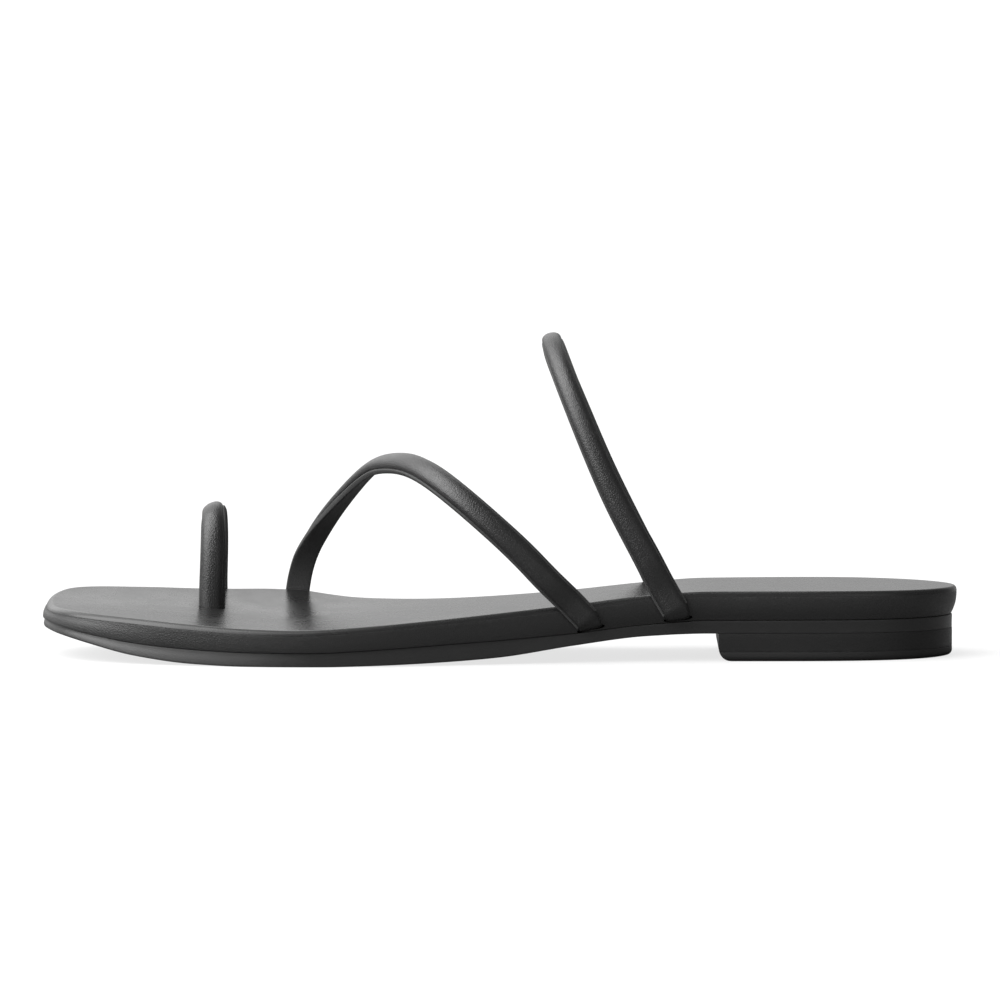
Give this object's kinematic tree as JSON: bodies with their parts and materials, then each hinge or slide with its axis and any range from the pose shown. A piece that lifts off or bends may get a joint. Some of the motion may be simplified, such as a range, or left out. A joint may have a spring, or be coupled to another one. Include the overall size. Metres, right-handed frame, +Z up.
{
  "type": "toe-loop flat sandal",
  "caption": "Left-foot flat leather slide sandal with a loop round the big toe, a diagonal strap over the ball and an arched instep strap on a low heel.",
  "frame": {"origin": "on the floor under the middle of the bounding box", "axes": "+X from toe to heel, +Y to the big toe's side, +Z up"},
  "size_m": [0.25, 0.0888, 0.0881],
  "materials": {
    "outsole_rubber": "black, satin edge",
    "heel_leather": "black, satin, covered block",
    "heel_rubber": "black, matt",
    "wrap_leather": "black, fine-grained, satin",
    "insole_leather": "black, smooth, semi-gloss",
    "strap_leather": "black, fine-grained, semi-gloss"
  },
  "bodies": {
    "root": {"outsole": "outsole_rubber", "heel_block": "heel_leather", "heel_tip": "heel_rubber", "midsole": "wrap_leather", "insole": "insole_leather", "toe_loop": "strap_leather", "front_strap": "strap_leather", "rear_strap": "strap_leather"}
  },
  "joints": []
}
